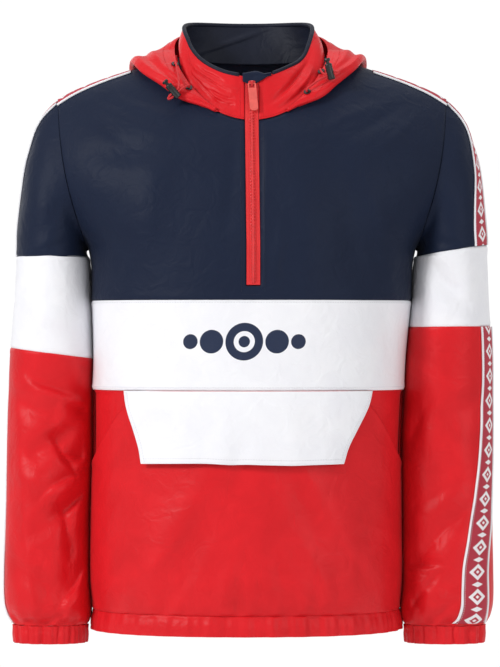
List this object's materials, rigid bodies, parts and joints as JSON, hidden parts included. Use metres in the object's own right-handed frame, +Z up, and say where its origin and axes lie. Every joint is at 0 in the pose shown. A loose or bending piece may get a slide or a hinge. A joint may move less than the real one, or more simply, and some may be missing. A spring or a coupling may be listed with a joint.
{
  "type": "windbreaker jacket",
  "caption": "Hooded half-zip windbreaker with navy, white and red bands, standing hollow as worn, hood down, with taped sleeves, gathered hem and cuffs and a flapped front pocket.",
  "frame": {"origin": "the middle of the neck opening, level with the base of the collar at the sides, where the wearer's neck and shoulders hold the garment", "axes": "+X to the right in a front view, which is the wearer's left; -Y is the front; +Z is up"},
  "size_m": [0.5775, 0.3119, 0.7338],
  "materials": {
    "navy_cloth": "dark blue woven nylon shell cloth with a soft sheen",
    "white_cloth": "white woven nylon shell cloth with a soft sheen",
    "red_cloth": "bright red woven nylon shell cloth with a soft sheen",
    "tape_cloth": "rose red woven ribbon, matt",
    "piping_cloth": "white folded piping, matt",
    "zip_red": "red moulded zip on red tape",
    "pull_red": "light red moulded pull",
    "black_gloss": "glossy black moulded fittings",
    "cord_red": "bright red braided cord"
  },
  "bodies": {
    "garment": {"front_yoke": "navy_cloth", "back_yoke": "navy_cloth", "sleeve_cap_right": "navy_cloth", "sleeve_cap_left": "navy_cloth", "chin_guard": "navy_cloth", "collar_lining": "navy_cloth", "collar_binding": "navy_cloth", "front_band": "white_cloth", "back_band": "white_cloth", "pocket_flap": "white_cloth", "sleeve_band_right": "white_cloth", "sleeve_band_left": "white_cloth", "lower_front": "red_cloth", "lower_back": "red_cloth", "pocket_facing_right": "red_cloth", "pocket_facing_left": "red_cloth", "waistband": "red_cloth", "sleeve_lower_right": "red_cloth", "sleeve_lower_left": "red_cloth", "cuff_right": "red_cloth", "cuff_left": "red_cloth", "collar": "red_cloth", "hood": "red_cloth", "tape_shoulder_right": "tape_cloth", "tape_shoulder_left": "tape_cloth", "tape_cap_right": "tape_cloth", "tape_cap_left": "tape_cloth", "tape_lower_right": "tape_cloth", "tape_lower_left": "tape_cloth", "piping_shoulder_back_right": "piping_cloth", "piping_shoulder_back_left": "piping_cloth", "piping_shoulder_front_right": "piping_cloth", "piping_shoulder_front_left": "piping_cloth", "piping_cap_back_right": "piping_cloth", "piping_cap_back_left": "piping_cloth", "piping_cap_front_right": "piping_cloth", "piping_cap_front_left": "piping_cloth", "piping_lower_back_right": "piping_cloth", "piping_lower_back_left": "piping_cloth", "piping_lower_front_right": "piping_cloth", "piping_lower_front_left": "piping_cloth", "zip_tape": "zip_red", "zip_chain": "zip_red", "zip_slider": "zip_red", "eyelet_upper_right": "black_gloss", "eyelet_upper_left": "black_gloss", "eyelet_lower_right": "black_gloss", "eyelet_lower_left": "black_gloss", "lock_barrel_right": "black_gloss", "lock_barrel_left": "black_gloss", "drawcord_right": "cord_red", "drawcord_left": "cord_red"},
    "pull": {"zip_pull": "pull_red"},
    "plunger_right": {"lock_plunger_right": "black_gloss"},
    "plunger_left": {"lock_plunger_left": "black_gloss"}
  },
  "joints": [
    {"name": "pull_swing", "type": "hinge", "parent": "garment", "child": "pull", "pos_m": [-0.0003, -0.0792, -0.03117], "axis": [-1, 0, 0], "range_deg": [0, 120]},
    {"name": "plunger_right_press", "type": "slide", "parent": "garment", "child": "plunger_right", "axis": [0.6591, 0, -0.7521], "range_m": [0, 0.0028], "stiffness_N_per_m": 1500},
    {"name": "plunger_left_press", "type": "slide", "parent": "garment", "child": "plunger_left", "axis": [0.2399, 0, -0.9708], "range_m": [0, 0.0028], "stiffness_N_per_m": 1500}
  ]
}
